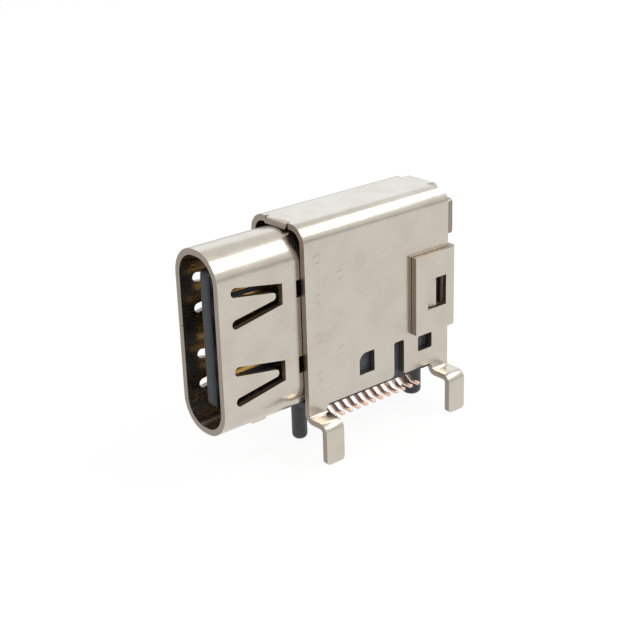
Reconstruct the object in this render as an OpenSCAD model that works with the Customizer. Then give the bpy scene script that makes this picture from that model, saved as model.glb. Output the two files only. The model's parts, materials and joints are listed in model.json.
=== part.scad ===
// Upright board socket for a small reversible data plug, with two nested sheet
// steel shells, a moulded core and twenty-four blanked contacts.
//
// Frame: millimetres. Z = 0 is the top of the board, +Z is up. X = 0 is the plane
// of symmetry and the front locating peg stands on X = 0, Y = 0. The mouth faces -Y
// and its long side stands upright, along Z.

/* [Mouth] */
// Length of the mouth opening, along its long upright side
mouth_length = 8.34; // [8.24:0.02:8.44]
// Distance between the two flat sides of the mouth
mouth_gap = 2.56; // [2.5:0.02:2.66]
// Radius of the mouth opening's corners
mouth_corner = 1.15; // [0.9:0.05:1.2]
// Height of the mouth's centre above the board
mouth_height = 4.9; // [4.8:0.05:5.6]
// Reach of the mouth's rim in front of the front peg's axis
mouth_reach = 5.5; // [5.2:0.1:7]

/* [Inner shell] */
// Sheet thickness of the inner shell
inner_sheet = 0.3; // [0.2:0.01:0.32]
// Length of the inner shell, from its rim to the end of its flanks
inner_length = 7.3; // [7:0.1:7.6]
// Clearance between the front peg and the cut edge of the inner shell's underside
underside_gap = 0.17; // [0.05:0.01:0.3]
// Height of the cut underside, above the foot of the mouth opening
underside_rise = 1.07; // [0.9:0.01:1.1]
// Distance of each spring finger's centre from the mouth's centre
finger_offset = 1.88; // [1.7:0.02:2]
// Distance from the rim to the roots of the finger's slot
finger_root = 0.69; // [0.6:0.05:1]
// Distance from the rim to the back end of the finger's slot
slot_end = 3.55; // [3.2:0.05:3.7]
// Width of the slot along the finger's edges
slot_width = 0.45; // [0.3:0.05:0.5]
// Full height of the slot at the finger's root
slot_root_height = 1.94; // [1.6:0.02:2]
// Full height of the slot at its back end
slot_end_height = 1.0; // [0.9:0.02:1.2]
// Radius of the finger's tip
finger_tip = 0.19; // [0.12:0.01:0.25]
// Gap between the finger's tip and the slot's back end
finger_tip_gap = 0.38; // [0.25:0.02:0.45]
// Distance from the rim to the front of the flank windows
flank_window_start = 4.35; // [4.2:0.05:4.5]
// Length of the flank windows
flank_window_length = 0.8; // [0.5:0.05:1]
// Height of the flank windows
flank_window_height = 0.84; // [0.5:0.02:1]
// Height of the seam above the mouth's centre
seam_height = 0.5; // [0.3:0.05:0.6]
// Width of the open seam between the sheet's two ends
seam_gap = 0.03; // [0.02:0.01:0.06]
// Depth of the dovetail that locks the seam
seam_lock = 0.4; // [0.3:0.05:0.6]

/* [Outer shell] */
// Sheet thickness of the outer shell, its legs and its ears
outer_sheet = 0.3; // [0.25:0.01:0.32]
// Clearance between the flat sides of the two shells
shell_gap = 0.04; // [0.02:0.01:0.08]
// Clearance between the inner shell's top and the outer shell's roof
roof_gap = 0.03; // [0.02:0.01:0.1]
// Reach of the walls' front edge in front of the front peg's axis
wall_reach = 0.9; // [0.8:0.05:0.95]
// Length of the outer shell's walls
wall_length = 9.17; // [9:0.05:10]
// Outer radius of the bend between roof and walls
roof_bend = 0.9; // [0.5:0.05:1]
// Height of the walls' lower edge above the board, between the legs
wall_foot = 0.68; // [0.6:0.02:0.8]
// Radius in the corners of the walls' lower cut-out
foot_corner = 0.22; // [0.1:0.02:0.25]
// Half width of the lip bent down at the front of the roof
lip_half = 0.73; // [0.5:0.01:0.8]
// Distance the lip stands out in front of the walls' front edge
lip_reach = 0.12; // [0.05:0.01:0.2]
// Width of the relief slits beside bent tabs
relief = 0.1; // [0.06:0.01:0.14]
// Radius of the trimmed corner at the back of the roof bend
trim_corner = 0.6; // [0.3:0.05:0.7]

/* [Legs] */
// Width of each leg along the board
leg_width = 1.08; // [0.9:0.02:1.1]
// Distance from the plane of symmetry to the legs' outer faces
leg_face = 3.13; // [3:0.01:3.6]
// Inside radius of the legs' two bends
leg_bend = 0.15; // [0.1:0.01:0.2]
// Reach of the legs and their tips below the board's top
leg_depth = 1.75; // [1.5:0.05:3]
// Radius of the leg tips' corners
leg_corner = 0.2; // [0.05:0.05:0.3]

/* [Rear cover] */
// Clearance between the walls' back edge and the rear cover
rear_gap = 0.03; // [0.02:0.01:0.08]
// Outer radius of the fold between roof and rear cover
fold_bend = 0.45; // [0.35:0.05:0.6]
// Half width of that fold
fold_half = 0.85; // [0.6:0.05:0.9]
// Half width of the rear cover above and below its ears
cover_half = 1.5; // [1.2:0.05:1.5]
// Half width of the rear cover's wings, behind the walls
wing_half = 1.88; // [1.7:0.02:1.9]
// Height of the wings' top edge above the mouth's centre
wing_top = 4.1; // [3.9:0.05:4.15]
// Height of the wings' lower edge above the mouth's centre
wing_bottom = 2.3; // [2.1:0.05:2.6]
// Height of the rear cover's lower edge above the board
cover_foot = 0.7; // [0.4:0.05:1]
// Clearance between each ear and the wall that it lies on
ear_gap = 0.02; // [0.01:0.01:0.04]
// Length of each ear, from the walls' back edge forward
ear_length = 2.5; // [2.2:0.05:3]
// Height of the ears' top edge above the mouth's centre
ear_top = 1.77; // [1.5:0.02:2]
// Depth of the ears' lower edge below the mouth's centre
ear_bottom = 2.33; // [2.3:0.02:2.4]
// Outer radius of the bend between rear cover and ears
ear_bend = 0.35; // [0.33:0.01:0.5]
// Distance from the walls' back edge to the ear window's back edge
ear_window_back = 0.44; // [0.35:0.01:0.5]
// Length of the window in each ear
ear_window_length = 1.25; // [1.1:0.05:1.4]
// Height of the window in each ear
ear_window_height = 1.56; // [1.3:0.02:1.7]
// Height of the ear window's centre against the mouth's centre
ear_window_level = -0.33; // [-0.5:0.01:-0.2]
// Clearance between the wall's lug and the ear window round it
lug_gap = 0.05; // [0.03:0.01:0.1]
// Length of the lug lanced out of the wall
lug_length = 0.6; // [0.4:0.05:0.8]
// Rise of the lug's free end out of the wall
lug_rise = 0.22; // [0.15:0.01:0.3]

/* [Wall windows] */
// Distance from the walls' front edge to the half-round window
arch_start = 3.2; // [3:0.05:3.4]
// Length of the half-round window
arch_length = 0.97; // [0.8:0.01:1.1]
// Height of the half-round window
arch_height = 1.1; // [0.9:0.05:1.2]
// Height of that window's lower edge above the board
arch_foot = 1.5; // [1.3:0.02:1.7]
// Distance from the walls' front edge to the open upright slot
notch_start = 5.48; // [5.3:0.02:5.6]
// Width of the open upright slot
notch_width = 0.66; // [0.5:0.02:0.8]
// Height of that slot's rounded top above the board
notch_top = 2.52; // [2.3:0.02:2.7]
// Distance from the walls' front edge to the square window
square_start = 7.1; // [7:0.02:7.2]
// Length of the square window
square_length = 0.95; // [0.8:0.01:1]
// Height of the square window
square_height = 0.8; // [0.6:0.02:0.85]
// Height of the square window's lower edge above the board
square_foot = 1.58; // [1.5:0.01:1.6]

/* [Moulded housing] */
// Height of the housing's underside above the board
housing_lift = 0.35; // [0.3:0.01:0.37]
// Clearance between the moulded parts and the parts round them
mould_fit = 0.02; // [0.01:0.01:0.04]
// Length of the housing's back block
back_block = 1.35; // [1.2:0.05:1.5]
// Clearance between the tongue plate's upper edge and the housing's top block
top_block_gap = 0.05; // [0.02:0.01:0.15]
// Diameter of the front locating peg
front_peg = 0.76; // [0.6:0.02:0.8]
// Diameter of the back locating peg
back_peg = 1.0; // [0.8:0.05:1.1]
// Distance between the two locating pegs
peg_spacing = 7.57; // [7.5:0.01:7.65]
// Reach of the pegs below the board's top
peg_depth = 1.7; // [1.2:0.05:1.75]
// Radius of the pegs' rounded ends
peg_round = 0.24; // [0.1:0.02:0.28]

/* [Tongue] */
// Width of the tongue, along the mouth's long side
tongue_width = 6.69; // [6.6:0.01:6.75]
// Thickness of the tongue
tongue_thickness = 0.7; // [0.66:0.01:0.74]
// Setback of the tongue's front edge behind the rim
tongue_setback = 0.4; // [0.3:0.05:0.9]
// Chamfer along the tongue's front edges
tongue_chamfer = 0.1; // [0.05:0.01:0.15]
// Radius of the tongue's front corners
tongue_corner = 0.4; // [0.2:0.05:0.6]
// Depth of the mouth, from rim to the moulded floor
mouth_depth = 6.2; // [6.1:0.05:6.3]
// Length of the thicker root of the tongue
root_length = 1.6; // [1.4:0.05:1.8]
// Thickness of the tongue's root
root_thickness = 1.1; // [1.05:0.01:1.2]
// Distance from the rim to the latch notches' centres
latch_notch = 2.5; // [2.2:0.05:2.8]
// Radius of the latch notches
latch_radius = 0.5; // [0.4:0.02:0.5]

/* [Inner metal] */
// Thickness of the plate inside the tongue
plate_thickness = 0.15; // [0.1:0.01:0.18]
// Width of the plate inside the tongue
plate_width = 6.3; // [6.2:0.02:6.4]
// Setback of the plate's front edge behind the tongue's
plate_setback = 0.5; // [0.4:0.05:0.8]
// Thickness of the earthing pads on the tongue's root
pad_thickness = 0.1; // [0.08:0.01:0.12]
// Width of the earthing pads
pad_width = 5.8; // [5.4:0.1:6]

/* [Contacts] */
// Distance between neighbouring contacts
pitch = 0.5; // [0.49:0.005:0.51]
// Number of contacts on each side of the tongue
contact_count = 12; // [12:1:12]
// Width of a contact where it lies on the tongue
blade_width = 0.25; // [0.2:0.01:0.28]
// Width of a contact inside the housing and at its foot
tail_width = 0.2; // [0.16:0.01:0.22]
// Thickness of the contact sheet
contact_sheet = 0.13; // [0.1:0.01:0.14]
// Height that the contacts stand out of the tongue's faces
contact_proud = 0.01; // [0:0.005:0.02]
// Setback of the long contacts behind the tongue's front edge
long_setback = 0.5; // [0.4:0.05:0.8]
// Setback of the short contacts behind the tongue's front edge
short_setback = 1.0; // [0.9:0.05:1.4]
// Distance from the front peg's axis to the first foot
first_foot = 0.38; // [0.37:0.01:0.42]
// Reach of the feet from the plane of symmetry
foot_reach = 2.3; // [2.2:0.05:2.5]
// Height of the contacts' step out to the skirt, above the foot of the mouth opening
step_rise = 0.62; // [0.5:0.02:0.7]
// Shift between a contact's drop and its foot
foot_shift = 0.62; // [0.58:0.01:0.66]

/* [Hidden] */
$fn = 32;
eps = 0.01;

// Shell faces, measured from the plane of symmetry.
gap_half = mouth_gap / 2;
inner_face = gap_half + inner_sheet;
wall_in = inner_face + shell_gap;
wall_out = wall_in + outer_sheet;
// Heights.
mouth_half = mouth_length / 2;
mouth_foot = mouth_height - mouth_half;
inner_top = mouth_height + mouth_half + inner_sheet;
roof_in = inner_top + roof_gap;
roof_out = roof_in + outer_sheet;
cut_height = mouth_foot + underside_rise;
// Distances along the plug's way in.
rim = -mouth_reach;
wall_front = -wall_reach;
wall_back = wall_front + wall_length;
cover_in = wall_back + rear_gap;
cover_out = cover_in + outer_sheet;
mouth_floor = rim + mouth_depth;
flank_end = rim + inner_length;
underside_cut = -front_peg / 2 - underside_gap;
// Legs.
bend_out = leg_bend + outer_sheet;
// Ears.
ear_in = wall_out + ear_gap;
ear_out = ear_in + outer_sheet;
ear_low = mouth_height - ear_bottom;
ear_high = mouth_height + ear_top;
ear_window_end = wall_back - ear_window_back;
ear_window_front = ear_window_end - ear_window_length;
ear_window_mid = mouth_height + ear_window_level;
// Moulded parts.
core_face = gap_half - mould_fit;
body_face = wall_in - shell_gap - mould_fit;
floor_top = mouth_foot - mould_fit;
block_foot = mouth_height + plate_width / 2 + top_block_gap;
block_back = wall_back - 0.07;
block_front = block_back - back_block;
top_back = cover_out - fold_bend - mould_fit;
wafer_in = plate_thickness / 2 + mould_fit;
tongue_front = rim + tongue_setback;
root_front = mouth_floor - root_length;
// Contacts.
lead_out = tongue_thickness / 2 + contact_proud;
lead_in = lead_out - contact_sheet;
drop_in = core_face - 0.31;
drop_out = drop_in + contact_sheet;
skirt_in = gap_half + mould_fit;
skirt_out = skirt_in + contact_sheet;
step_height = mouth_foot + step_rise;

function contact_height(k) = mouth_height + (k - (contact_count - 1) / 2) * pitch;
function foot_place(k) = first_foot + k * pitch;
function is_long(k) = k == 0 || k == 3 || k == contact_count - 4 || k == contact_count - 1;

// ---- helpers -------------------------------------------------------------

// Extrudes a profile drawn in X and Z from y0 to y1.
module along_y(y0, y1) translate([0, y1, 0]) rotate([90, 0, 0]) linear_extrude(y1 - y0) children();

// Extrudes a profile drawn in Y and Z from x0 to x1.
module along_x(x0, x1) translate([x0, 0, 0]) rotate([90, 0, 90]) linear_extrude(x1 - x0) children();

// Extrudes a profile drawn in X and Y from z0 to z1.
module along_z(z0, z1) translate([0, 0, z0]) linear_extrude(z1 - z0) children();

// The children, and their mirror image on the other side of X = 0.
module both_sides() {
    children();
    mirror([1, 0, 0]) children();
}

// A box between two corners.
module block(low, high) translate(low) cube(high - low);

// A rectangle between two corners.
module plate(low, high) translate(low) square(high - low);

// A rectangle between two corners, with all four corners rounded.
module round_plate(low, high, r) {
    plate([low[0] + r, low[1]], [high[0] - r, high[1]]);
    plate([low[0], low[1] + r], [high[0], high[1] - r]);
    for (x = [low[0] + r, high[0] - r], y = [low[1] + r, high[1] - r])
        translate([x, y]) circle(r);
}

// A quarter of a ring, the section of a right-angled bend, turned by an angle. It has
// short straight ends, which lie inside the flat sheet that it joins.
module bend(r_in, r_out, turn) {
    intersection() {
        difference() {
            circle(r_out);
            if (r_in > 0) circle(r_in);
        }
        rotate(turn) square(r_out + 1);
    }
    rotate(turn) {
        plate([-eps, r_in], [0, r_out]);
        plate([r_in, -eps], [r_out, 0]);
    }
}

// A thin line of one width through a list of points.
module stroke(points, w) for (i = [0 : len(points) - 2]) {
    d = points[i + 1] - points[i];
    translate(points[i]) rotate(atan2(d[1], d[0]))
        translate([-w / 2, -w / 2]) square([norm(d) + w, w]);
}

// ---- inner shell ---------------------------------------------------------

// The slot round one spring finger, drawn from the rim, about the finger's centre.
module finger_slot() {
    start = finger_root + slot_width / 2;
    root = slot_root_height / 2;
    tip = slot_end - finger_tip_gap - finger_tip;
    difference() {
        union() {
            polygon([[start, root], [slot_end, slot_end_height / 2],
                     [slot_end, -slot_end_height / 2], [start, -root]]);
            for (side = [-1, 1]) translate([start, side * (root - slot_width / 2)])
                circle(slot_width / 2);
        }
        polygon([[start - slot_width, root - slot_width], [start, root - slot_width],
                 [tip, finger_tip], [tip, -finger_tip],
                 [start, slot_width - root], [start - slot_width, slot_width - root]]);
        translate([tip, 0]) circle(finger_tip);
    }
}

module inner_shell() color("silver") difference() {
    along_y(rim, flank_end) translate([0, mouth_height]) difference() {
        round_plate([-inner_face, -mouth_half - inner_sheet], [inner_face, mouth_half + inner_sheet],
                    mouth_corner + inner_sheet);
        round_plate([-gap_half, -mouth_half], [gap_half, mouth_half], mouth_corner);
    }
    // The fingers' slots and the flank windows, through both flat sides.
    along_x(-inner_face - 1, inner_face + 1) for (level = [-1, 1])
        translate([rim, mouth_height + level * finger_offset]) {
            finger_slot();
            plate([flank_window_start, -flank_window_height / 2],
                  [flank_window_start + flank_window_length, flank_window_height / 2]);
        }
    // The underside is cut away where the housing's floor comes in.
    block([-inner_face - 1, underside_cut, mouth_foot - 1],
          [inner_face + 1, flank_end + 1, cut_height]);
    // The seam with its dovetail, down the left flat side.
    along_x(-inner_face - 1, 0) translate([rim, mouth_height + seam_height])
        stroke([[-1, 0], [1.5, 0], [1.35, -seam_lock], [2.4, -seam_lock], [2.25, 0],
                [inner_length + 1, 0]], seam_gap);
}

// ---- outer shell ---------------------------------------------------------

// Section of the roof and walls: an arch with rounded upper corners.
module arch(half, top, foot, r) intersection() {
    union() {
        plate([-half, foot], [half, top - r]);
        plate([r - half, foot], [half - r, top]);
        for (side = [-1, 1]) translate([side * (half - r), top - r]) circle(r);
    }
    plate([-half - 1, foot], [half + 1, top + 1]);
}

// The part of the side view that the walls lose between and behind their legs.
module foot_cutout() {
    front = wall_front + leg_width;
    back = wall_back - leg_width;
    difference() {
        plate([front, -1], [back, wall_foot]);
        for (end = [front, back - foot_corner])
            plate([end, wall_foot - foot_corner], [end + foot_corner, wall_foot]);
    }
    for (end = [front + foot_corner, back - foot_corner])
        translate([end, wall_foot - foot_corner]) circle(foot_corner);
}

// Window with one large rounded corner.
module arch_window() {
    r = arch_length * 0.45;
    plate([0, 0], [arch_length, arch_height - r]);
    plate([r, 0], [arch_length, arch_height]);
    translate([r, arch_height - r]) circle(r);
}

// Upright slot, open below, with a flared mouth.
module open_notch() {
    flare = foot_corner;
    top = notch_top - wall_foot;
    r = 0.12;
    plate([0, -1], [notch_width, top - r]);
    plate([r, -1], [notch_width - r, top]);
    for (x = [r, notch_width - r]) translate([x, top - r]) circle(r);
    difference() {
        plate([-flare, -1], [notch_width + flare / 2, flare]);
        translate([-flare, flare]) circle(flare);
        plate([notch_width, flare / 2], [notch_width + flare, flare + 1]);
        translate([notch_width + flare / 2, flare / 2]) circle(flare / 2);
    }
}

module wall_openings() {
    translate([wall_front + arch_start, arch_foot]) arch_window();
    translate([wall_front + notch_start, wall_foot]) open_notch();
    translate([wall_front + square_start, square_foot])
        round_plate([0, 0], [square_length, square_height], 0.08);
    // The hole that each lug leaves in the wall.
    plate([ear_window_front + lug_gap, ear_window_mid - ear_window_height / 2 + lug_gap / 2],
          [ear_window_end - lug_gap, ear_window_mid + ear_window_height / 2 - lug_gap / 2]);
}

// One leg with its flange, from the wall's lower end to the tip.
module leg(y0) intersection() {
    along_y(y0, y0 + leg_width) {
        plate([wall_in, bend_out - eps], [wall_out, wall_foot + eps]);
        translate([wall_in + bend_out, bend_out]) bend(leg_bend, bend_out, 180);
        plate([wall_in + bend_out, 0], [leg_face - bend_out, outer_sheet]);
        translate([leg_face - bend_out, outer_sheet - bend_out]) bend(leg_bend, bend_out, 0);
        plate([leg_face - outer_sheet, -leg_depth], [leg_face, outer_sheet - bend_out]);
    }
    along_x(0, leg_face + 1) translate([y0, 0]) {
        plate([0, leg_corner - leg_depth], [leg_width, wall_foot + 1]);
        plate([leg_corner, -leg_depth], [leg_width - leg_corner, wall_foot + 1]);
        for (y = [leg_corner, leg_width - leg_corner])
            translate([y, leg_corner - leg_depth]) circle(leg_corner);
    }
}

// One ear, its bend and its strip of the rear cover.
module ear() {
    along_x(ear_in, ear_out) difference() {
        union() {
            plate([wall_back - ear_length, ear_low + 0.15], [cover_out - ear_bend, ear_high]);
            plate([wall_back - ear_length + 0.15, ear_low], [cover_out - ear_bend, ear_high]);
            translate([wall_back - ear_length + 0.15, ear_low + 0.15]) circle(0.15);
        }
        plate([ear_window_front, ear_window_mid - ear_window_height / 2],
              [ear_window_end, ear_window_mid + ear_window_height / 2]);
    }
    along_z(ear_low, ear_high)
        translate([ear_out - ear_bend, cover_out - ear_bend]) bend(ear_bend - outer_sheet, ear_bend, 0);
    block([cover_half - 0.1, cover_in, ear_low], [ear_out - ear_bend, cover_out, ear_high]);
}

// One lug, lanced out of the wall and sloping out to its free back end.
module lug() along_z(ear_window_mid - ear_window_height / 2 + lug_gap,
                     ear_window_mid + ear_window_height / 2 - lug_gap)
    polygon([[wall_in, ear_window_front + lug_gap - eps], [wall_out, ear_window_front + lug_gap - eps],
             [wall_out, ear_window_front + lug_gap],
             [wall_out + lug_rise, ear_window_front + lug_gap + lug_length],
             [wall_in + lug_rise, ear_window_front + lug_gap + lug_length],
             [wall_in, ear_window_front + lug_gap]]);

module outer_shell() color("gainsboro") union() {
    difference() {
        along_y(wall_front, wall_back) difference() {
            arch(wall_out, roof_out, bend_out, roof_bend);
            arch(wall_in, roof_in, -1, roof_bend - outer_sheet);
        }
        along_x(-wall_out - 1, wall_out + 1) {
            foot_cutout();
            wall_openings();
        }
        // Room for the front lip.
        block([-lip_half - relief, wall_front - 1, roof_in - eps],
              [lip_half + relief, wall_front - lip_reach + outer_sheet, roof_out + 1]);
        // Room for the fold to the rear cover.
        block([-fold_half - relief, cover_out - fold_bend, roof_in - 1],
              [fold_half + relief, wall_back + 1, roof_out + 1]);
        // Trimmed back corners of the roof bends.
        both_sides() along_x(fold_half, wall_out + 1) difference() {
            plate([wall_back - trim_corner, roof_out - trim_corner], [wall_back + 1, roof_out + 1]);
            translate([wall_back - trim_corner, roof_out - trim_corner]) circle(trim_corner);
        }
    }
    both_sides() {
        leg(wall_front);
        leg(wall_back - leg_width);
        ear();
        lug();
    }
    // The lip at the front of the roof.
    along_x(-lip_half, lip_half)
        translate([wall_front - lip_reach + outer_sheet, roof_in]) bend(0, outer_sheet, 90);
    // The fold at the back of the roof, and the rear cover.
    along_x(-fold_half, fold_half)
        translate([cover_out - fold_bend, roof_out - fold_bend])
            bend(fold_bend - outer_sheet, fold_bend, 0);
    along_y(cover_in, cover_out) {
        plate([-fold_half, mouth_height], [fold_half, roof_out - fold_bend]);
        plate([-cover_half, cover_foot], [cover_half, mouth_height + wing_top]);
        round_plate([-wing_half, mouth_height + wing_bottom], [wing_half, mouth_height + wing_top], 0.2);
    }
}

// ---- moulded parts -------------------------------------------------------

// A locating peg with a rounded end, standing down from the housing.
module peg(d) rotate_extrude() {
    plate([0, peg_round - peg_depth], [d / 2, housing_lift + 0.1]);
    plate([0, -peg_depth], [d / 2 - peg_round, 0]);
    intersection() {
        translate([d / 2 - peg_round, peg_round - peg_depth]) circle(peg_round);
        plate([0, -peg_depth - 1], [d, 0]);
    }
}

// Section of what fills the mouth, behind its floor.
module core_section() translate([0, mouth_height])
    round_plate([-core_face, mould_fit - mouth_half], [core_face, mouth_half - mould_fit],
                mouth_corner - mould_fit);

module housing() color("dimgray") union() {
    // Floor below the mouth and the wafers.
    block([-core_face, underside_cut + mould_fit, housing_lift],
          [core_face, block_back, floor_top]);
    // Block behind the wafers.
    block([-body_face, block_front, housing_lift], [body_face, block_back, block_foot + 0.1]);
    // Block above the wafers, following the roof.
    along_y(flank_end + mould_fit, top_back)
        arch(body_face, roof_in - mould_fit, block_foot, roof_bend - outer_sheet);
    // Nose of that block, inside the inner shell.
    along_y(mouth_floor, flank_end + 0.2) intersection() {
        core_section();
        plate([-core_face - 1, block_foot], [core_face + 1, roof_in]);
    }
    peg(front_peg);
    translate([0, peg_spacing, 0]) peg(back_peg);
}

// Plastic round one side's contacts, before the contacts take their room.
module wafer_body() {
    intersection() {
        block([wafer_in, mouth_floor, floor_top + mould_fit],
              [core_face, block_front - mould_fit, block_foot - mould_fit]);
        union() {
            along_y(mouth_floor - 1, block_front) core_section();
            block([0, underside_cut + mould_fit, 0], [body_face, block_front, cut_height - mould_fit]);
            block([0, flank_end + mould_fit, 0], [body_face, block_front, roof_in]);
        }
    }
    block([wafer_in + 0.5, flank_end + mould_fit, floor_top + mould_fit],
          [body_face, block_front - mould_fit, block_foot - mould_fit]);
    block([skirt_in - mould_fit, flank_end, housing_lift + mould_fit],
          [body_face, block_front - mould_fit, floor_top + 0.1]);
    // Skirt below the cut underside of the inner shell.
    block([skirt_in - mould_fit, underside_cut + mould_fit, housing_lift + mould_fit],
          [body_face, flank_end + 0.1, cut_height - mould_fit]);
}

module wafer() difference() {
    wafer_body();
    for (k = [0 : contact_count - 1]) contact(k);
}

module wafer_right() color("dimgray") wafer();
module wafer_left() color("dimgray") mirror([1, 0, 0]) wafer();

// The tongue's outline in the side view, with rounded front corners.
module tongue_outline() {
    low = mouth_height - tongue_width / 2;
    high = mouth_height + tongue_width / 2;
    plate([tongue_front + tongue_corner, low], [mouth_floor, high]);
    plate([tongue_front, low + tongue_corner], [mouth_floor, high - tongue_corner]);
    for (z = [low + tongue_corner, high - tongue_corner])
        translate([tongue_front + tongue_corner, z]) circle(tongue_corner);
}

module tongue() color("darkslategray") difference() {
    half = tongue_thickness / 2;
    union() {
        intersection() {
            along_x(-half, half) tongue_outline();
            along_z(0, roof_out) polygon([
                [-half, mouth_floor], [-half, tongue_front + tongue_chamfer],
                [tongue_chamfer - half, tongue_front], [half - tongue_chamfer, tongue_front],
                [half, tongue_front + tongue_chamfer], [half, mouth_floor]]);
        }
        block([-root_thickness / 2, root_front, mouth_height - tongue_width / 2],
              [root_thickness / 2, mouth_floor, mouth_height + tongue_width / 2]);
    }
    // Latch notches in the tongue's two edges.
    for (side = [-1, 1])
        translate([0, rim + latch_notch, mouth_height + side * (tongue_width / 2 + 0.1)])
            rotate([0, 90, 0]) cylinder(h = 2 * half + 1, r = latch_radius, center = true);
    mid_plate_room();
    for (k = [0 : contact_count - 1]) both_sides() contact(k);
}

// ---- inner metal ---------------------------------------------------------

module mid_plate_room() along_x(-plate_thickness / 2, plate_thickness / 2)
    plate([tongue_front + plate_setback, mouth_height - plate_width / 2],
          [flank_end, mouth_height + plate_width / 2]);

module mid_plate() color("lightsteelblue") difference() {
    mid_plate_room();
    for (side = [-1, 1])
        translate([0, rim + latch_notch, mouth_height + side * (tongue_width / 2 + 0.1)])
            rotate([0, 90, 0]) cylinder(h = 1, r = latch_radius - 0.06, center = true);
}

module ground_pad() block(
    [root_thickness / 2, root_front + 0.1, mouth_height - pad_width / 2],
    [root_thickness / 2 + pad_thickness, mouth_floor - mould_fit, mouth_height + pad_width / 2]);

module ground_pad_right() color("lightsteelblue") ground_pad();
module ground_pad_left() color("lightsteelblue") mirror([1, 0, 0]) ground_pad();

// One contact of the right side: a beam on the tongue, a step out, a blanked drop
// in the wafer, a step out to the skirt and a foot bent out on the board.
module contact(k) {
    z = contact_height(k);
    foot = foot_place(k);
    drop = foot + foot_shift;
    half = tail_width / 2;
    setback = is_long(k) ? long_setback : short_setback;
    turn = mouth_floor + 0.06;
    // Beam on the tongue.
    block([lead_in, tongue_front + setback, z - blade_width / 2],
          [lead_out, turn + contact_sheet, z + blade_width / 2]);
    // Step out from the tongue to the drop.
    block([lead_in, turn, z - half], [drop_out, turn + contact_sheet, z + half]);
    // Drop in the wafer.
    along_x(drop_in, drop_out) {
        plate([turn, z - half], [drop + half, z + half]);
        plate([drop - half, step_height - contact_sheet], [drop + half, z + half]);
    }
    // Step out to the skirt.
    block([drop_in, drop - half, step_height - contact_sheet], [skirt_out, drop + half, step_height]);
    // Slanted blade in the skirt, down to the foot.
    along_x(skirt_in, skirt_out) {
        polygon([[drop - half, step_height], [drop + half, step_height],
                 [drop + half, step_height - contact_sheet],
                 [foot + half, housing_lift + 0.4], [foot + half, housing_lift + 0.05],
                 [foot - half, housing_lift + 0.05], [foot - half, housing_lift + 0.4],
                 [drop - half, step_height - contact_sheet]]);
    }
    // Foot.
    along_y(foot - half, foot + half) polygon([
        [skirt_in, housing_lift + 0.15], [skirt_out, housing_lift + 0.15],
        [skirt_out, housing_lift + 0.05], [skirt_out + 0.42, contact_sheet],
        [foot_reach, contact_sheet], [foot_reach, 0], [skirt_out + 0.37, 0],
        [skirt_in, housing_lift]]);
}

module contact_right(k) color("goldenrod") contact(k);
module contact_left(k) color("goldenrod") mirror([1, 0, 0]) contact(k);

// ---- assembly ------------------------------------------------------------

inner_shell();
outer_shell();
housing();
wafer_right();
wafer_left();
tongue();
mid_plate();
ground_pad_right();
ground_pad_left();
contact_right(0);  // contact_a1
contact_right(1);  // contact_a2
contact_right(2);  // contact_a3
contact_right(3);  // contact_a4
contact_right(4);  // contact_a5
contact_right(5);  // contact_a6
contact_right(6);  // contact_a7
contact_right(7);  // contact_a8
contact_right(8);  // contact_a9
contact_right(9);  // contact_a10
contact_right(10);  // contact_a11
contact_right(11);  // contact_a12
contact_left(0);  // contact_b1
contact_left(1);  // contact_b2
contact_left(2);  // contact_b3
contact_left(3);  // contact_b4
contact_left(4);  // contact_b5
contact_left(5);  // contact_b6
contact_left(6);  // contact_b7
contact_left(7);  // contact_b8
contact_left(8);  // contact_b9
contact_left(9);  // contact_b10
contact_left(10);  // contact_b11
contact_left(11);  // contact_b12
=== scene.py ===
"""Looks of an upright board socket for a small reversible data plug.

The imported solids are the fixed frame. The two nested sheet steel shells, the moulded
core and the blanked contacts keep their shapes and places: each is finished with the
soft edges that blanking, bending and moulding leave, and with the surface of its real
material. Joining rings of the spot welds are added on both flanks of the outer shell.

Lengths in the classes are millimetres in the frame of the part: the front locating peg
stands on X = 0, Y = 0, the board's top is Z = 0 and the mouth faces -Y.
"""

import json
import logging
import math
from collections.abc import Iterable, Sequence
from dataclasses import dataclass, field
from enum import Enum

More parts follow.
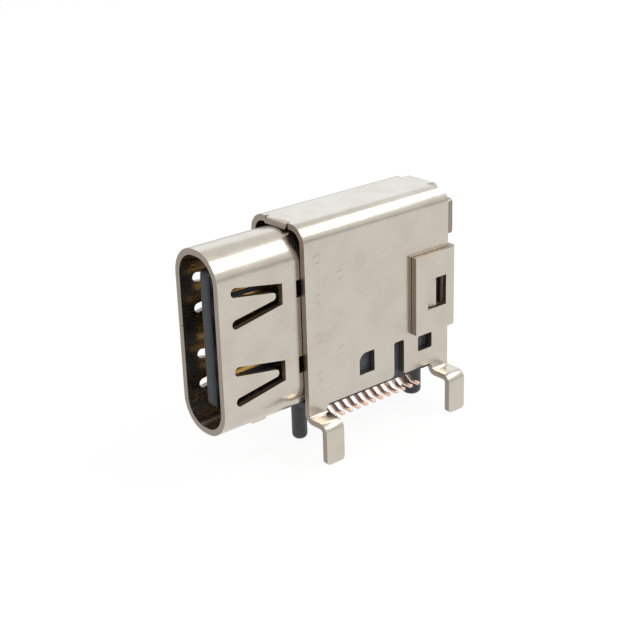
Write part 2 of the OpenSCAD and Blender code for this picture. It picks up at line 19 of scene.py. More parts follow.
import bmesh
import bpy
import numpy as np
from mathutils import Matrix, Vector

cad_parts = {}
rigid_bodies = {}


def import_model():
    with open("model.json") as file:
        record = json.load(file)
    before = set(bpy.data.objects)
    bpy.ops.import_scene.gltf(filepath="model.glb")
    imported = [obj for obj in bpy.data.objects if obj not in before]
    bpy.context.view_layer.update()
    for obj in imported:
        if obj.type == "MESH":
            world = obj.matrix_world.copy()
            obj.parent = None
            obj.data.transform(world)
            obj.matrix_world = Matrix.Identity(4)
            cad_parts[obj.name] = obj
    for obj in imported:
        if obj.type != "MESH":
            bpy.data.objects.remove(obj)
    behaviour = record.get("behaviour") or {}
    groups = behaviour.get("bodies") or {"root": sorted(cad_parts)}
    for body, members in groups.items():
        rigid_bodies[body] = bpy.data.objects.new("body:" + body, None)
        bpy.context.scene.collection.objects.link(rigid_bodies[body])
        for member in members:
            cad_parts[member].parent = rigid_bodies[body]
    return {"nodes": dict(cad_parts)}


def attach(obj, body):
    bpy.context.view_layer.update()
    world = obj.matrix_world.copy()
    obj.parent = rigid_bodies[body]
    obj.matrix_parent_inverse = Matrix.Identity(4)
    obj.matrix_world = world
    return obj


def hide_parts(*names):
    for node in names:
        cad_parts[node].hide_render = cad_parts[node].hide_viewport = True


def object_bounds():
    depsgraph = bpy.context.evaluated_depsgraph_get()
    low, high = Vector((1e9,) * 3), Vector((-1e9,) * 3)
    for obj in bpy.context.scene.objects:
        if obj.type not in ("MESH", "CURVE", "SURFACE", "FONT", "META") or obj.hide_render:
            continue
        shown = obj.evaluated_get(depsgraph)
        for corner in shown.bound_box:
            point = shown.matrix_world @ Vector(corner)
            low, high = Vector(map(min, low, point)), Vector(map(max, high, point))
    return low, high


for stray in list(bpy.data.objects):
    bpy.data.objects.remove(stray)

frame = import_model()
CAD_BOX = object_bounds()

MM = 0.001
BODY = "root"
LOG = logging.getLogger("socket")

# Distances, in metres, within which two points are one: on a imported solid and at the
# pole of a grid.
SOLID_MERGE = 2e-7
POLE_MERGE = 1e-8
# Least share of a unit normal along an axis on a face that looks along it, and the
# greatest on a face that stands across it.
FACING = 0.7
ACROSS = 0.3


class Side(Enum):
    """Side of the plane of symmetry; the value is the sign of X there."""

    RIGHT = 1
    LEFT = -1


# ---- colour, nodes and meshes ---------------------------------------------


def linear(colour: str) -> tuple[float, float, float, float]:
    """Turns an sRGB hex colour into linear red, green, blue and an alpha of one.

    Args:
        colour: Six hex digits, with or without a leading hash.

    Returns:
        The linear colour that a shader socket takes.
    """
    digits = colour.lstrip("#")
    srgb = [int(digits[i : i + 2], 16) / 255 for i in (0, 2, 4)]
    red, green, blue = (
        c / 12.92 if c <= 0.04045 else ((c + 0.055) / 1.055) ** 2.4 for c in srgb
    )
    return red, green, blue, 1.0


def add_node(
    tree: bpy.types.NodeTree,
    kind: str,
    inputs: dict | None = None,
    **settings: object,
) -> bpy.types.Node:
    """Adds one node with its settings, socket values and links.

    Args:
        tree: Node tree that takes the node.
        kind: Blender's name of the node's type.
        inputs: Value or linked output socket for each input, by name or number.
        settings: Attributes of the node itself.

    Returns:
        The new node.
    """
    node = tree.nodes.new(kind)
    for key, value in settings.items():
        setattr(node, key, value)
    for key, value in (inputs or {}).items():
        if isinstance(value, bpy.types.NodeSocket):
            tree.links.new(value, node.inputs[key])
        else:
            node.inputs[key].default_value = value
    return node


def new_material(name: str) -> tuple[bpy.types.Material, bpy.types.NodeTree]:
    """Makes an empty node material.

    Args:
        name: Name of the material: what it is and how it was made.

    Returns:
        The material and its node tree.
    """
    material = bpy.data.materials.new(name)
    material.use_nodes = True
    material.node_tree.nodes.clear()
    return material, material.node_tree


def surface_mesh(name: str, points: np.ndarray) -> bpy.types.Mesh:
    """Makes one closed mesh from a stack of grids that are periodic in their first parameter.

    Quad (i, j) of a grid joins points (i, j), (i + 1, j), (i + 1, j + 1) and (i, j + 1),
    with i taken round the turn. Rows that shrink to a pole are merged to one point, and
    the faces are then turned outwards.

    Args:
        name: Name of the mesh.
        points: Array of copies, turns, rows and X, Y, Z, in millimetres.

    Returns:
        The mesh, in metres.
    """
    copies, turns, rows, _ = points.shape
    index = np.arange(copies * turns * rows).reshape(copies, turns, rows)
    nxt = np.roll(index, -1, axis=1)
    quads = np.stack(
        [index[:, :, :-1], nxt[:, :, :-1], nxt[:, :, 1:], index[:, :, 1:]], axis=-1
    ).reshape(-1, 4)
    mesh = bpy.data.meshes.new(name)
    mesh.from_pydata((points.reshape(-1, 3) * MM).tolist(), [], quads.tolist())
    shape = bmesh.new()
    shape.from_mesh(mesh)
    bmesh.ops.remove_doubles(shape, verts=shape.verts, dist=POLE_MERGE)
    bmesh.ops.recalc_face_normals(shape, faces=shape.faces)
    shape.to_mesh(mesh)
    shape.free()
    mesh.shade_smooth()
    return mesh


def dress(piece: bpy.types.Object, finish: bpy.types.Material) -> None:
    """Gives a piece its one material.

    Args:
        piece: Piece of the object.
        finish: Material of the whole piece.
    """
    piece.data.materials.clear()
    piece.data.materials.append(finish)


def place(mesh: bpy.types.Mesh, finish: bpy.types.Material, slot: str) -> bpy.types.Object:
    """Puts a finished mesh into the scene as a piece of the object.

    Args:
        mesh: Mesh with its place in its points.
        finish: Material of the whole piece.
        slot: Material slot of the record that the piece takes its finish from; not used.

    Returns:
        The piece, riding on the one body of the part.
    """
    piece = bpy.data.objects.new(mesh.name, mesh)
    bpy.context.scene.collection.objects.link(piece)
    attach(piece, BODY)
    dress(piece, finish)
    return piece


# ---- finishes ---------------------------------------------------------------


@dataclass(frozen=True)
class NickelSheet:
    """Rolled strip steel with a satin nickel plating, blanked and bent.

    Nickel gives a warm grey mirror, the rolling leaves fine streaks along the strip, and
    the blanked edges show the duller, browner fracture of the strip, darkened further by
    painted shade on those edges and on the walls of the slots.

    Attributes:
        name: Name of the material.
        grain: Stretch of the streaks' pattern along X, Y and Z; they run along Y.
        tone: Colour of the clean plating.
        tint: Colour of the faint clouds in the plating.
        fracture_and_shade_tone: Colour of a blanked edge: the strip's fracture, darkened further
            by painted shade.
        roughness: Roughness of the plating.
        sheen: Least and greatest change that the streaks make to the roughness.
        edge_roughness: Roughness that a blanked edge has beyond the plating's.
        streak_mm: Width of one rolling streak, the finest that still shows.
        cloud_mm: Size of one cloud in the plating.
        relief_mm: Depth of the streaks, as the rolls leave it.
    """

    name: str
    grain: tuple[float, float, float] = (1.0, 0.06, 1.0)
    tone: str = "#d4cdc0"
    tint: str = "#cdc3b6"
    # Browner, darker tone of the blanked edges: partly the fracture, partly painted shade on edges
    # and slot walls.
    fracture_and_shade_tone: str = "#a2968a"
    roughness: float = 0.24
    sheen: tuple[float, float] = (-0.04, 0.05)
    edge_roughness: float = 0.18
    streak_mm: float = 0.05
    cloud_mm: float = 1.6
    relief_mm: float = 0.0002

    def build(self) -> bpy.types.Material:
        """Builds the node material.

        Returns:
            The material.
        """
        material, tree = new_material(self.name)
        where = add_node(tree, "ShaderNodeTexCoord").outputs["Object"]
        clouds = add_node(
            tree,
            "ShaderNodeTexNoise",
            {"Vector": where, "Scale": 1 / (self.cloud_mm * MM), "Detail": 4.0, "Roughness": 0.6},
        )
        stretched = add_node(
            tree, "ShaderNodeVectorMath", {0: where, 1: self.grain}, operation="MULTIPLY"
        )
        streaks = add_node(
            tree,
            "ShaderNodeTexNoise",
            {
                "Vector": stretched.outputs[0],
                "Scale": 1 / (self.streak_mm * MM),
                "Detail": 3.0,
                "Roughness": 0.6,
            },
        )
        tint_share = add_node(
            tree,
            "ShaderNodeMapRange",
            {"Value": clouds.outputs["Fac"], "From Min": 0.4, "From Max": 0.7},
        )
        plating = add_node(
            tree,
            "ShaderNodeMix",
            {"Factor": tint_share.outputs[0], 6: linear(self.tone), 7: linear(self.tint)},
            data_type="RGBA",
        )
        # Faces marked cut take the darker edge tone, which carries painted shade as well as the
        # fracture.
        cut = add_node(tree, "ShaderNodeAttribute", attribute_name="cut").outputs["Fac"]
        colour = add_node(
            tree,
            "ShaderNodeMix",
            {"Factor": cut, 6: plating.outputs[2], 7: linear(self.fracture_and_shade_tone)},
            data_type="RGBA",
        )
        satin = add_node(
            tree,
            "ShaderNodeMapRange",
            {
                "Value": streaks.outputs["Fac"],
                "From Min": 0.3,
                "From Max": 0.7,
                "To Min": self.roughness + self.sheen[0],
                "To Max": self.roughness + self.sheen[1],
            },
        )
        torn = add_node(
            tree,
            "ShaderNodeMath",
            {0: cut, 1: self.edge_roughness, 2: satin.outputs[0]},
            operation="MULTIPLY_ADD",
        )
        relief = add_node(
            tree,
            "ShaderNodeBump",
            {"Height": streaks.outputs["Fac"], "Strength": 1.0, "Distance": self.relief_mm * MM},
        )
        shader = add_node(
            tree,
            "ShaderNodeBsdfPrincipled",
            {
                "Base Color": colour.outputs[2],
                "Metallic": 1.0,
                "Roughness": torn.outputs[0],
                "Normal": relief.outputs["Normal"],
            },
        )
        add_node(tree, "ShaderNodeOutputMaterial", {"Surface": shader.outputs[0]})
        return material


@dataclass(frozen=True)
class MouldedPolymer:
    """Glass filled liquid crystal polymer, injection moulded in spark eroded tools.

    It gives a slate black, nearly matt skin with a fine grain and soft flow marks.

    Attributes:
        name: Name of the material.
        tone: Colour of the skin.
        flow_tone: Colour of the flow marks, where glass lies near the skin.
        roughness: Roughness of the skin.
        sheen: Least and greatest change that the grain makes to the roughness.
        ior: Index of refraction of the resin.
        grain_mm: Size of one grain of the eroded tool.
        flow_mm: Width of the flow marks.
        relief_mm: Depth of the grain.
    """

    name: str
    tone: str = "#23282d"
    flow_tone: str = "#30363c"
    roughness: float = 0.42
    sheen: tuple[float, float] = (-0.06, 0.1)
    ior: float = 1.55
    grain_mm: float = 0.06
    flow_mm: float = 0.9
    relief_mm: float = 0.002

    def build(self) -> bpy.types.Material:
        """Builds the node material.

        Returns:
            The material.
        """
        material, tree = new_material(self.name)
        where = add_node(tree, "ShaderNodeTexCoord").outputs["Object"]
        flow = add_node(
            tree,
            "ShaderNodeTexNoise",
            {"Vector": where, "Scale": 1 / (self.flow_mm * MM), "Detail": 3.0, "Distortion": 0.8},
        )
        grain = add_node(
            tree,
            "ShaderNodeTexNoise",
            {"Vector": where, "Scale": 1 / (self.grain_mm * MM), "Detail": 2.0},
        )
        share = add_node(
            tree,
            "ShaderNodeMapRange",
            {"Value": flow.outputs["Fac"], "From Min": 0.35, "From Max": 0.75},
        )
        colour = add_node(
            tree,
            "ShaderNodeMix",
            {"Factor": share.outputs[0], 6: linear(self.tone), 7: linear(self.flow_tone)},
            data_type="RGBA",
        )
        matt = add_node(
            tree,
            "ShaderNodeMapRange",
            {
                "Value": grain.outputs["Fac"],
                "To Min": self.roughness + self.sheen[0],
                "To Max": self.roughness + self.sheen[1],
            },
        )
        relief = add_node(
            tree,
            "ShaderNodeBump",
            {"Height": grain.outputs["Fac"], "Strength": 1.0, "Distance": self.relief_mm * MM},
        )
        shader = add_node(
            tree,
            "ShaderNodeBsdfPrincipled",
            {
                "Base Color": colour.outputs[2],
                "Roughness": matt.outputs[0],
                "IOR": self.ior,
                "Normal": relief.outputs["Normal"],
            },
        )
        add_node(tree, "ShaderNodeOutputMaterial", {"Surface": shader.outputs[0]})
        return material


@dataclass(frozen=True)
class SelectivePlating:
    """Copper alloy strip, gold plated where the plug touches and flashed on the tails.

    The beams on the tongue are yellow gold; the feet show a pinker, duller flash.

    Attributes:
        name: Name of the material.
        gold: Colour of the plating on the beams.
        flash: Colour of the flash on the feet.
        border_mm: Height above the board where one turns into the other.
        blend_mm: Half the height over which it does.
        roughness: Roughness of the beams.
        sheen: Least and greatest change that the blanking streaks make to the roughness.
        grain_mm: Width of the blanking streaks.
    """

    name: str
    gold: str = "#f0c274"
    flash: str = "#f0d3c2"
    border_mm: float = 1.2
    blend_mm: float = 0.1
    roughness: float = 0.22
    sheen: tuple[float, float] = (-0.04, 0.12)
    grain_mm: float = 0.03

    def build(self) -> bpy.types.Material:
        """Builds the node material.

        Returns:
            The material.
        """
        material, tree = new_material(self.name)
        where = add_node(tree, "ShaderNodeTexCoord").outputs["Object"]
        height = add_node(tree, "ShaderNodeSeparateXYZ", {0: where}).outputs["Z"]
        share = add_node(
            tree,
            "ShaderNodeMapRange",
            {
                "Value": height,
                "From Min": (self.border_mm - self.blend_mm) * MM,
                "From Max": (self.border_mm + self.blend_mm) * MM,
            },
            interpolation_type="SMOOTHSTEP",
        )
        colour = add_node(
            tree,
            "ShaderNodeMix",
            {"Factor": share.outputs[0], 6: linear(self.flash), 7: linear(self.gold)},
            data_type="RGBA",
        )
        grain = add_node(
            tree,
            "ShaderNodeTexNoise",
            {"Vector": where, "Scale": 1 / (self.grain_mm * MM), "Detail": 3.0},
        )
        satin = add_node(
            tree,
            "ShaderNodeMapRange",
            {
                "Value": grain.outputs["Fac"],
                "To Min": self.roughness + self.sheen[0],
                "To Max": self.roughness + self.sheen[1],
            },
        )
        shader = add_node(
            tree,
            "ShaderNodeBsdfPrincipled",
            {"Base Color": colour.outputs[2], "Metallic": 1.0, "Roughness": satin.outputs[0]},
        )
        add_node(tree, "ShaderNodeOutputMaterial", {"Surface": shader.outputs[0]})
        return material


# ---- sub-assemblies ---------------------------------------------------------


@dataclass
class SoftEdges:
    """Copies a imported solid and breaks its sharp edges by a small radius.

    Attributes:
        radius: Radius left on the edges by blanking or moulding.
        sharp: Angle between two faces, in degrees, above which their edge is broken.
        steps: Number of facets round each edge.
        flat: Angle between two faces, in degrees, below which they are one flat face.
    """

    radius: float
    sharp: float = 50.0
    steps: int = 2
    flat: float = 0.4

    def copy_of(self, node: str) -> bpy.types.Object:
        """Makes the copy, which stands in for the solid.

        Args:
            node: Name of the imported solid.

        Returns:
            The copy, merged, with its flat faces rejoined and its modifiers added.
        """
        mesh = frame["nodes"][node].data.copy()
        mesh.name = node + "_piece"
        shape = bmesh.new()
        shape.from_mesh(mesh)
        bmesh.ops.remove_doubles(shape, verts=shape.verts, dist=SOLID_MERGE)
        bmesh.ops.dissolve_limit(
            shape, angle_limit=math.radians(self.flat), verts=shape.verts, edges=shape.edges
        )
        shape.to_mesh(mesh)
        shape.free()
        if "custom_normal" in mesh.attributes:
            mesh.attributes.remove(mesh.attributes["custom_normal"])
        mesh.shade_smooth()
        piece = bpy.data.objects.new(mesh.name, mesh)
        bpy.context.scene.collection.objects.link(piece)
        bevel = piece.modifiers.new("broken_edges", "BEVEL")
        bevel.width = self.radius * MM
        bevel.segments = self.steps
        bevel.limit_method = "ANGLE"
        bevel.angle_limit = math.radians(self.sharp)
        bevel.use_clamp_overlap = True
        bevel.miter_outer = "MITER_ARC"
        normals = piece.modifiers.new("flat_faces", "WEIGHTED_NORMAL")
        # The highest weight: the largest face at a point alone sets its normal.
        normals.weight = 100
        normals.keep_sharp = False
        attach(piece, BODY)
        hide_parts(node)
        return piece


def face_frame(mesh: bpy.types.Mesh) -> tuple[np.ndarray, np.ndarray]:
    """Reads the centre and the direction of each face.

    Args:
        mesh: Mesh in metres.

    Returns:
        Centres in millimetres and unit normals, one row to a face.
    """
    count = len(mesh.polygons)
    centre = np.empty(count * 3)
    normal = np.empty(count * 3)
    mesh.polygons.foreach_get("center", centre)
    mesh.polygons.foreach_get("normal", normal)
    return centre.reshape(-1, 3) / MM, normal.reshape(-1, 3)


def mark_cut(mesh: bpy.types.Mesh, cut: np.ndarray) -> None:
    """Stores which faces are blanked edges, for the finish to read; it gives them the darker edge
    tone, which is partly painted shade.

    Args:
        mesh: Mesh of one piece of sheet.
        cut: One truth value to a face.
    """
    layer = mesh.attributes.new("cut", "FLOAT", "FACE")
    layer.data.foreach_set("value", cut.astype(np.float32))


@dataclass
class InnerShell:
    """Seamed tube round the mouth, rolled from one strip.

    Attributes:
        finish: Plating of the strip.
        face: Distance from the plane of symmetry to the outside of the flat sides.
        sheet: Thickness of the strip.
        slack: Distance from the strip's two skins within which a face is no blanked edge.
        edges: How far its blanked edges are broken.
    """

    finish: NickelSheet
    face: float = 1.58
    sheet: float = 0.3
    slack: float = 0.05
    edges: SoftEdges = field(default_factory=lambda: SoftEdges(0.035))

    def build(self) -> bpy.types.Object:
        """Builds the shell and marks its blanked edges.

        Returns:
            The piece.
        """
        piece = self.edges.copy_of("inner_shell")
        centre, normal = face_frame(piece.data)
        depth = self.face - np.abs(centre[:, 0])
        rim = np.abs(normal[:, 1]) > FACING
        # Slot walls are marked cut, so they take the darker edge tone as painted shade inside the
        # slots.
        slots = (depth > self.slack) & (depth < self.sheet - self.slack)
        slots &= np.abs(normal[:, 0]) < ACROSS
        mark_cut(piece.data, rim | slots)
        dress(piece, self.finish.build())
        return piece


@dataclass(frozen=True)
class RingRow:
    """Upright row of weld rings at one spacing.

    Attributes:
        along: Distance of the row behind the front peg's axis.
        lowest: Height of its lowest ring above the board.
        step: Distance between two rings.
        count: Number of rings.
    """

    along: float
    lowest: float
    step: float
    count: int


@dataclass
class WeldRings:
    """Rings that the electrodes of the spot welder print on a flank of the outer shell.

    Attributes:
        side: Flank that carries the rings.
        rows: Four rings near the shell's front edge, and two behind their gaps.
        face: Distance from the plane of symmetry to that flank.
        radius: Radius of each ring.
        crest: Height of the ring above the flank.
        crest_width: Width of the ring.
        bead: Height of the small bead in its centre.
        bead_width: Width of that bead.
        lift: Height of the skin between ring and bead.
        ramp: Fall of the skin at the outline, which takes it below the flank.
        sunk: Depth of the flat bottom inside the sheet.
        turns: Number of points round a ring.
        steps: Number of points from its centre to its outline.
    """

    side: Side
    rows: tuple[RingRow, ...] = (RingRow(-0.17, 2.22, 1.94, 4), RingRow(1.2, 3.17, 3.79, 2))
    face: float = 1.92
    radius: float = 0.21
    crest: float = 0.016
    crest_width: float = 0.04
    bead: float = 0.03
    bead_width: float = 0.03
    lift: float = 0.0006
    ramp: float = 0.004
    sunk: float = 0.02
    turns: int = 40
    steps: int = 36

    def centres(self) -> np.ndarray:
        """Works out where the rings stand: each row is its lowest height plus whole steps.

        Returns:
            Y and Z of each centre, one row to a ring.
        """
        rows = [
            (np.full(row.count, row.along), row.lowest + row.step * np.arange(row.count))
            for row in self.rows
        ]
        return np.concatenate([np.stack(row, axis=1) for row in rows])

    def build(self, finish: bpy.types.Material) -> bpy.types.Object:
        """Builds the rings as closed lenses, each sunk into the flank by its rim.

        The height over the radius r is a bell round the ring's radius plus a narrower
        bell round the centre, less a ramp that grows with the sixth power of r. The
        outline lies three widths outside the ring, where its bell has died away, and the
        lens closes on a flat bottom inside the sheet.

        Args:
            finish: Plating of the flank.

        Returns:
            The piece with all rings of this flank.
        """
        reach = self.radius + 3 * self.crest_width
        r = np.linspace(0.0, reach, self.steps)
        height = (
            self.crest * np.exp(-(((r - self.radius) / self.crest_width) ** 2))
            + self.bead * np.exp(-((r / self.bead_width) ** 2))
            + self.lift
            - self.ramp * (r / reach) ** 6
        )
        r = np.concatenate([r, [reach, 0.0]])
        height = np.concatenate([height, [-self.sunk, -self.sunk]])
        turn = np.linspace(0, 2 * np.pi, self.turns, endpoint=False)[:, None]
        along = r * np.cos(turn)
        up = r * np.sin(turn)
        out = np.broadcast_to(self.side.value * (self.face + height), along.shape)
        ring = np.stack([out, along, up], axis=-1)
        middle = self.centres()
        shift = np.concatenate([np.zeros((len(middle), 1)), middle], axis=1)
        points = ring[None] + shift[:, None, None, :]
        mesh = surface_mesh(f"weld_rings_{self.side.name.lower()}", points)
        return place(mesh, finish, "outer_shell_steel")


@dataclass
class OuterShell:
    """Folded cover with its legs, ears and rear cover, bent from one blank.

    Attributes:
        finish: Plating of the strip.
        wall: Distance from the plane of symmetry to the outside of the walls.
        roof: Height of the roof's outside.
        roof_bend: Depth below that outside where the bend into the walls has ended.
        back: Distance to the outside of the rear cover.
        back_fold: Depth below the roof's outside where the fold into that cover has ended.
        ear_bend: Distance from that outside where the bend into the ears has ended.
        ear_foot: Height above which a face outside the walls is an ear's.
        front: Distance to the front edge of the walls.
        wall_foot: Height above which a face in the walls' thickness is a wall's.
        leg_top: Height below which an edge is a leg's.
        leg_tip: Height below which a face that looks down is a leg's tip.
        sheet: Thickness of the strip.
        slack: Distance from the strip's two skins within which a face is no blanked edge.
        edges: How far its blanked edges are broken.
    """

    finish: NickelSheet
    wall: float = 1.92
    roof: float = 9.7
    roof_bend: float = 0.9
    back: float = 8.6
    back_fold: float = 0.5
    ear_bend: float = 0.4
    ear_foot: float = 2.0
    front: float = -0.9
    wall_foot: float = 0.5
    leg_top: float = 0.7
    leg_tip: float = -1.5
    sheet: float = 0.3
    slack: float = 0.05
    edges: SoftEdges = field(default_factory=lambda: SoftEdges(0.03))

    def build(self) -> list[bpy.types.Object]:
        """Builds the shell, marks its blanked edges and adds the weld rings.

        Returns:
            The shell and the rings of both flanks.
        """
        piece = self.edges.copy_of("outer_shell")
        centre, normal = face_frame(piece.data)
        x, y, z = np.abs(centre[:, 0]), centre[:, 1], centre[:, 2]
        slack = self.slack
        in_wall = (x > self.wall - self.sheet + slack) & (x < self.wall - slack)
        in_wall &= z > self.wall_foot
        in_ear = (x > self.wall + slack) & (z > self.ear_foot) & (y < self.back - self.ear_bend)
        walls = (in_wall | in_ear) & (np.abs(normal[:, 0]) < ACROSS)
        walls &= z < self.roof - self.roof_bend
        front_edge = (normal[:, 1] < -FACING) & (y < self.front + slack) & (z > self.leg_top)
        leg_edge = (np.abs(normal[:, 1]) > FACING) & (z < self.leg_top)
        leg_tip = (normal[:, 2] < -FACING) & (z < self.leg_tip)
        cover_edge = (y > self.back - self.sheet + slack) & (y < self.back - slack)
        cover_edge &= np.abs(normal[:, 1]) < ACROSS
        cover_edge &= z < self.roof - self.back_fold
        # Marked faces take the darker edge tone, partly the fracture and partly painted shade.
        mark_cut(piece.data, walls | front_edge | leg_edge | leg_tip | cover_edge)
        steel = self.finish.build()
        dress(piece, steel)
        return [piece, *(WeldRings(side).build(steel) for side in Side)]


@dataclass
class MouldedCore:
    """Housing with its pegs, the two wafers and the tongue.

    Attributes:
        housing: Finish of the housing and the pegs.
        wafers: Finish of the two wafers.
        tongue: Finish of the tongue.
        edges: Radius that the moulds leave on the edges.
    """

    housing: MouldedPolymer
    wafers: MouldedPolymer
    tongue: MouldedPolymer
    edges: SoftEdges = field(default_factory=lambda: SoftEdges(0.03))

    def build(self) -> list[bpy.types.Object]:
        """Builds the moulded pieces.

        Returns:
            Housing, wafers and tongue.
        """
        wafers = self.wafers.build()
        plan = {
            "housing": (self.housing.build(), "housing_plastic"),
            "wafer_right": (wafers, "wafer_plastic"),
            "wafer_left": (wafers, "wafer_plastic"),
            "tongue": (self.tongue.build(), "tongue_plastic"),
        }
        pieces = []
        for node, (material, slot) in plan.items():
            piece = self.edges.copy_of(node)
            dress(piece, material)
            pieces.append(piece)
        return pieces


@dataclass
class ContactRows:
    """Two rows of blanked contacts and the metal inside the tongue.

    Attributes:
        plating: Plating of the contacts.
        steel: Finish of the plate and the earthing pads in the tongue.
        per_row: Number of contacts in a row.
        edges: How far the blanked edges are broken.
    """

    plating: SelectivePlating
    steel: NickelSheet
    per_row: int = 12
    edges: SoftEdges = field(default_factory=lambda: SoftEdges(0.012, steps=1))

    def build(self) -> list[bpy.types.Object]:
        """Builds the contacts and dresses the metal inside the tongue.

        Returns:
            The contacts, the plate and the earthing pads.
        """
        plating = self.plating.build()
        pieces = []
        for row in "ab":
            for number in range(1, self.per_row + 1):
                piece = self.edges.copy_of(f"contact_{row}{number}")
                dress(piece, plating)
                pieces.append(piece)
        steel = self.steel.build()
        for node in ("mid_plate", "ground_pad_right", "ground_pad_left"):
            solid = frame["nodes"][node]
            dress(solid, steel)
            pieces.append(solid)
        return pieces


# ---- studio -------------------------------------------------------------------


def turn_to(
    body: bpy.types.Object, right: Sequence[float], up: Sequence[float], back: Sequence[float]
) -> None:
    """Turns a lamp or a camera, which look along their own -Z.

    Args:
        body: Object to turn.
        right: Unit vector of its own X.
        up: Unit vector of its own Y.
        back: Unit vector of its own Z.
    """
    turn = Matrix(np.stack([right, up, back], axis=1).tolist())
    body.rotation_mode = "QUATERNION"
    body.rotation_quaternion = turn.to_quaternion()


@dataclass(frozen=True)
class Softbox:
    """Plain soft lamp.

    Attributes:
        name: Name of the lamp.
        toward: Direction from the object to the lamp.
        distance: Distance from the object, in millimetres.
        width: Width of the lamp, in millimetres.
        height: Height of the lamp, in millimetres.
        level: Brightness of its face, where one is white.
        tone: Colour of its light, as linear red, green and blue.
    """

    name: str
    toward: tuple[float, float, float]
    distance: float
    width: float
    height: float
    level: float
    tone: tuple[float, float, float] = (1.0, 1.0, 1.0)

    def build(self, centre: Sequence[float]) -> bpy.types.Object:
        """Adds the lamp.

        Args:
            centre: Point that the lamp faces, in metres.

        Returns:
            The lamp's object.
        """
        lamp = bpy.data.lights.new(self.name, "AREA")
        lamp.shape = "RECTANGLE"
        lamp.size = self.width * MM
        lamp.size_y = self.height * MM
        lamp.color = self.tone
        # A square metre of a face at level one sends out pi watts.
        lamp.energy = self.level * math.pi * lamp.size * lamp.size_y
        body = bpy.data.objects.new(self.name, lamp)
        bpy.context.scene.collection.objects.link(body)
        aim = np.array(self.toward) / np.linalg.norm(self.toward)
        body.location = np.array(centre) + aim * self.distance * MM
        right = np.cross((0.0, 0.0, 1.0), aim)
        right /= np.linalg.norm(right)
        turn_to(body, right, np.cross(aim, right), aim)
        return body


@dataclass(frozen=True)
class Viewpoint:
    """Camera in front of the mouth, to its right and above it.

    Attributes:
        right: Unit vector to the right of the view.
        up: Unit vector to its top.
        back: Unit vector from the object to the camera.
        place: Place of the camera, in millimetres.
        lens: Focal length, in millimetres.
        sensor: Width of the sensor, in millimetres.
        clip: Nearest and farthest distance that is drawn, in metres.
    """

    right: tuple[float, float, float] = (0.64764518, 0.76140394, -0.02863165)
    up: tuple[float, float, float] = (-0.27002964, 0.26449937, 0.92580996)
    back: tuple[float, float, float] = (0.7124884, -0.59186496, 0.37690337)
    place: tuple[float, float, float] = (45.1995, -36.0415, 27.9712)
    lens: float = 74.18
    sensor: float = 36.0
    clip: tuple[float, float] = (0.001, 10.0)

    def build(self) -> bpy.types.Object:
        """Stands the camera there and makes it the scene's own.

        Returns:
            The camera's object.
        """
        optics = bpy.data.cameras.new("camera")
        optics.sensor_width = self.sensor
        optics.lens = self.lens
        optics.clip_start, optics.clip_end = self.clip
        body = bpy.data.objects.new("camera", optics)
        bpy.context.scene.collection.objects.link(body)
        turn_to(body, self.right, self.up, self.back)
        body.location = [v * MM for v in self.place]
        bpy.context.scene.camera = body
        return body


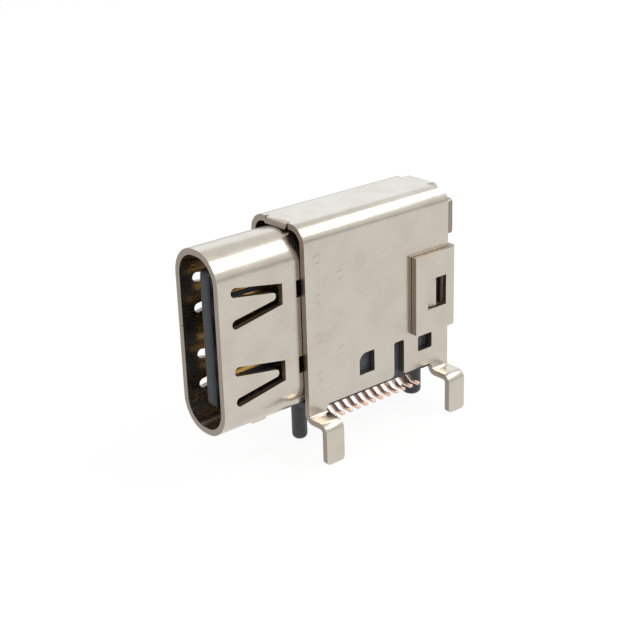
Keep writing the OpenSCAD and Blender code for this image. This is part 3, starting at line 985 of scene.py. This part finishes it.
@dataclass
class Studio:
    """Pale floor, even surroundings, soft lamps and the camera.

    Attributes:
        floor_height: Height of the floor, at the tips of the legs, in millimetres.
        floor_gap: Gap left under the tips, in millimetres, so that no two faces coincide.
        floor_half: Half the floor's width, in metres.
        floor_tone: Colour of the floor for the light that it passes on.
        shadow_share: Share of the floor's look that shows the object's shadow.
        paper_white: Brightness of the rest of its look, where one is white.
        mirrored_white: Its brightness where the metal mirrors it.
        horizon: Brightness of the room just above the floor.
        room: Brightness of the room higher up.
        rise: Sines of the heights above the horizon where one starts to turn into the
            other, and where it has.
        lamps: The soft lamps.
        viewpoint: The camera.
    """

    floor_height: float = -1.75
    floor_gap: float = 0.01
    floor_half: float = 1.5
    floor_tone: str = "#f1f1f0"
    shadow_share: float = 0.1
    paper_white: float = 1.02
    mirrored_white: float = 0.9
    horizon: float = 0.35
    room: float = 0.85
    rise: tuple[float, float] = (0.02, 0.22)
    lamps: tuple[Softbox, ...] = (
        Softbox("overhead_box", (0.45, 0.6, 0.75), 120.0, 110.0, 50.0, 3.2),
        Softbox("left_box", (-0.75, 0.55, 0.4), 130.0, 120.0, 70.0, 0.45, (0.72, 0.85, 1.0)),
        Softbox("front_box", (0.2, -0.9, 0.5), 160.0, 90.0, 60.0, 1.0),
    )
    viewpoint: Viewpoint = Viewpoint()

    def floor(self) -> bpy.types.Object:
        """Lays the floor, which is seen from above only.

        Returns:
            The floor's object.
        """
        half = self.floor_half
        mesh = bpy.data.meshes.new("studio_floor")
        level = (self.floor_height - self.floor_gap) * MM
        outline = ((-half, -half), (half, -half), (half, half), (-half, half))
        mesh.from_pydata([(x, y, level) for x, y in outline], [], [(0, 1, 2, 3)])
        material, tree = new_material("pale_studio_paper")
        rays = add_node(tree, "ShaderNodeLightPath")
        seen = add_node(
            tree,
            "ShaderNodeMath",
            {0: rays.outputs["Is Camera Ray"], 1: 1 - self.shadow_share},
            operation="MULTIPLY",
        )
        mirrored = add_node(
            tree,
            "ShaderNodeMath",
            {0: rays.outputs["Is Glossy Ray"], 1: rays.outputs["Is Transmission Ray"]},
            operation="MAXIMUM",
        )
        lit_share = add_node(
            tree,
            "ShaderNodeMath",
            {0: seen.outputs[0], 1: mirrored.outputs[0]},
            operation="MAXIMUM",
        )
        strength = add_node(
            tree,
            "ShaderNodeMapRange",
            {
                "Value": mirrored.outputs[0],
                "To Min": self.paper_white,
                "To Max": self.mirrored_white,
            },
        )
        paper = add_node(
            tree,
            "ShaderNodeBsdfPrincipled",
            {"Base Color": linear(self.floor_tone), "Roughness": 0.9, "Specular IOR Level": 0.0},
        )
        glow = add_node(
            tree, "ShaderNodeEmission", {"Color": (1, 1, 1, 1), "Strength": strength.outputs[0]}
        )
        face = add_node(
            tree,
            "ShaderNodeMixShader",
            {0: lit_share.outputs[0], 1: paper.outputs[0], 2: glow.outputs[0]},
        )
        below = add_node(tree, "ShaderNodeNewGeometry").outputs["Backfacing"]
        clear = add_node(tree, "ShaderNodeBsdfTransparent")
        whole = add_node(
            tree, "ShaderNodeMixShader", {0: below, 1: face.outputs[0], 2: clear.outputs[0]}
        )
        add_node(tree, "ShaderNodeOutputMaterial", {"Surface": whole.outputs[0]})
        mesh.materials.append(material)
        plane = bpy.data.objects.new("studio_floor", mesh)
        bpy.context.scene.collection.objects.link(plane)
        return plane

    def surroundings(self) -> None:
        """Lights the room: darker at the horizon, even above, and white to the camera."""
        world = bpy.data.worlds.new("studio_room")
        world.use_nodes = True
        tree = world.node_tree
        tree.nodes.clear()
        direction = add_node(tree, "ShaderNodeTexCoord").outputs["Generated"]
        height = add_node(tree, "ShaderNodeSeparateXYZ", {0: direction}).outputs["Z"]
        level = add_node(
            tree,
            "ShaderNodeMapRange",
            {
                "Value": height,
                "From Min": self.rise[0],
                "From Max": self.rise[1],
                "To Min": self.horizon,
                "To Max": self.room,
            },
            interpolation_type="SMOOTHSTEP",
        )
        seen = add_node(tree, "ShaderNodeLightPath").outputs["Is Camera Ray"]
        strength = add_node(
            tree, "ShaderNodeMix", {"Factor": seen, 2: level.outputs[0], 3: 1.0}, data_type="FLOAT"
        )
        room = add_node(
            tree,
            "ShaderNodeBackground",
            {"Color": (1.0, 1.0, 1.0, 1.0), "Strength": strength.outputs[0]},
        )
        add_node(tree, "ShaderNodeOutputWorld", {"Surface": room.outputs[0]})
        bpy.context.scene.world = world

    def build(self, centre: Sequence[float]) -> None:
        """Builds the studio round the object.

        Args:
            centre: Middle of the object, in metres.
        """
        self.floor()
        self.surroundings()
        for lamp in self.lamps:
            lamp.build(centre)
        self.viewpoint.build()
        bpy.context.scene.view_settings.view_transform = "Standard"


def report(pieces: Iterable[bpy.types.Object]) -> None:
    """Logs each piece with its number of faces.

    Args:
        pieces: Pieces of one sub-assembly.
    """
    for piece in pieces:
        LOG.info("%s: %d faces", piece.name, len(piece.data.polygons))


def main() -> None:
    """Builds the classes in order."""
    logging.basicConfig(level=logging.INFO, format="%(name)s: %(message)s")
    report([InnerShell(NickelSheet("nickel_plated_steel_drawn")).build()])
    report(OuterShell(NickelSheet("nickel_plated_steel_folded")).build())
    report(
        MouldedCore(
            MouldedPolymer("moulded_polymer_housing"),
            MouldedPolymer("moulded_polymer_wafer", tone="#3a4046", flow_tone="#474e55"),
            MouldedPolymer(
                "moulded_polymer_tongue", tone="#171d25", flow_tone="#1f262e", roughness=0.4
            ),
        ).build()
    )
    report(
        ContactRows(
            SelectivePlating("gold_plated_copper_alloy"),
            NickelSheet("bright_steel_plate", roughness=0.3),
        ).build()
    )
    low, high = CAD_BOX
    Studio().build([(low[i] + high[i]) / 2 for i in range(3)])


if __name__ == "__main__":
    main()
